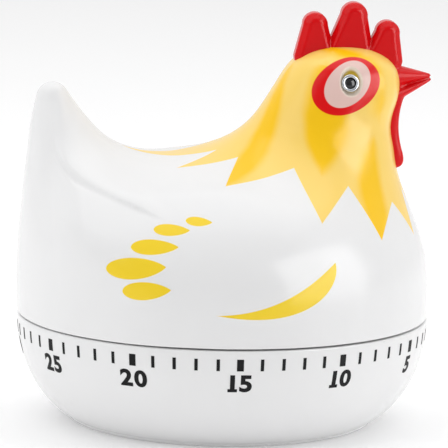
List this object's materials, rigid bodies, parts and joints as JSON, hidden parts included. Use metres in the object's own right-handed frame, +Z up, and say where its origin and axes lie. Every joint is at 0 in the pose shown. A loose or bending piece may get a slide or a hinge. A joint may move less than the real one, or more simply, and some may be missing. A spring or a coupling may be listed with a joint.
{
  "type": "hen-shaped clockwork kitchen timer",
  "caption": "Hen-shaped mechanical kitchen timer: the upper hen turns on a cup-shaped base with a minute scale and winds a sealed gear train and bell.",
  "frame": {"origin": "centre of the base's flat underside, on the axis that the hen turns about", "axes": "+X the way the hen faces at the scale's zero, +Y the hen's left side, +Z up along the turning axis"},
  "size_m": [0.0722, 0.072, 0.0737],
  "materials": {
    "white_shell": "glossy moulded white plastic",
    "comb_red": "glossy moulded red plastic",
    "eye_silver": "bright plated ring",
    "pupil_black": "glossy black bead",
    "plumage_yellow": "airbrushed yellow lacquer",
    "socket_pink": "pale pink lacquer",
    "scale_black": "pad-printed black ink",
    "cream_nylon": "moulded nylon",
    "steel": "stamped and turned steel",
    "dark_steel": "blackened steel",
    "spring_steel": "blued spring steel",
    "bell_steel": "nickel-plated bell steel",
    "brass": "stamped and turned brass"
  },
  "bodies": {
    "base": {"base_shell": "white_shell", "bottom_plate": "steel", "top_plate": "steel", "plate_pillars": "steel", "pillar_screws": "dark_steel", "base_screws": "dark_steel", "bell": "bell_steel", "bell_post": "brass", "bell_nut": "brass", "lower_bush": "brass", "upper_bush": "brass", "mainspring": "spring_steel", "spring_post": "steel", "hammer_spring": "spring_steel"},
    "hen": {"hen_shell": "white_shell", "comb_beak_and_wattle": "comb_red", "eye_rims": "eye_silver", "eye_pupils": "pupil_black", "drive_plate": "cream_nylon", "drive_plate_screws": "dark_steel", "main_arbor": "steel", "arbor_clip": "dark_steel", "main_wheel": "brass", "clutch_spring": "spring_steel", "clutch_collar": "brass", "alarm_cam": "steel"},
    "second": {"second_arbor": "steel", "second_wheel": "brass"},
    "third": {"third_arbor": "steel", "third_wheel": "brass"},
    "escape": {"escape_arbor": "steel", "escape_wheel": "brass"},
    "verge": {"verge_arbor": "steel", "verge_lever": "brass", "balance_bar": "dark_steel"},
    "hammer": {"hammer_arbor": "steel", "hammer_arm": "dark_steel", "hammer_tail": "dark_steel"}
  },
  "joints": [
    {"name": "hen_turn", "type": "hinge", "parent": "base", "child": "hen", "pos_m": [0, 0, 0], "axis": [0, 0, 1], "range_deg": [-354, 0]},
    {"name": "second_turn", "type": "hinge", "parent": "base", "child": "second", "pos_m": [0, 0.0168, 0], "axis": [0, 0, 1], "continuous": true},
    {"name": "third_turn", "type": "hinge", "parent": "base", "child": "third", "pos_m": [-0.01247, 0.01499, 0], "axis": [0, 0, 1], "continuous": true},
    {"name": "escape_turn", "type": "hinge", "parent": "base", "child": "escape", "pos_m": [-0.01967, 0.00735, 0], "axis": [0, 0, 1], "continuous": true},
    {"name": "verge_swing", "type": "hinge", "parent": "base", "child": "verge", "pos_m": [-0.0215, 0.00018, 0], "axis": [0, 0, 1], "range_deg": [-6, 6]},
    {"name": "hammer_swing", "type": "hinge", "parent": "base", "child": "hammer", "pos_m": [-0.00391, -0.02216, 0], "axis": [0, 0, 1], "range_deg": [-8, 0], "stiffness_Nm_per_rad": 0.002}
  ],
  "couplings": [
    {"joint": "second_turn", "follows": "hen_turn", "ratio": -7},
    {"joint": "third_turn", "follows": "hen_turn", "ratio": 42},
    {"joint": "escape_turn", "follows": "hen_turn", "ratio": -252}
  ]
}
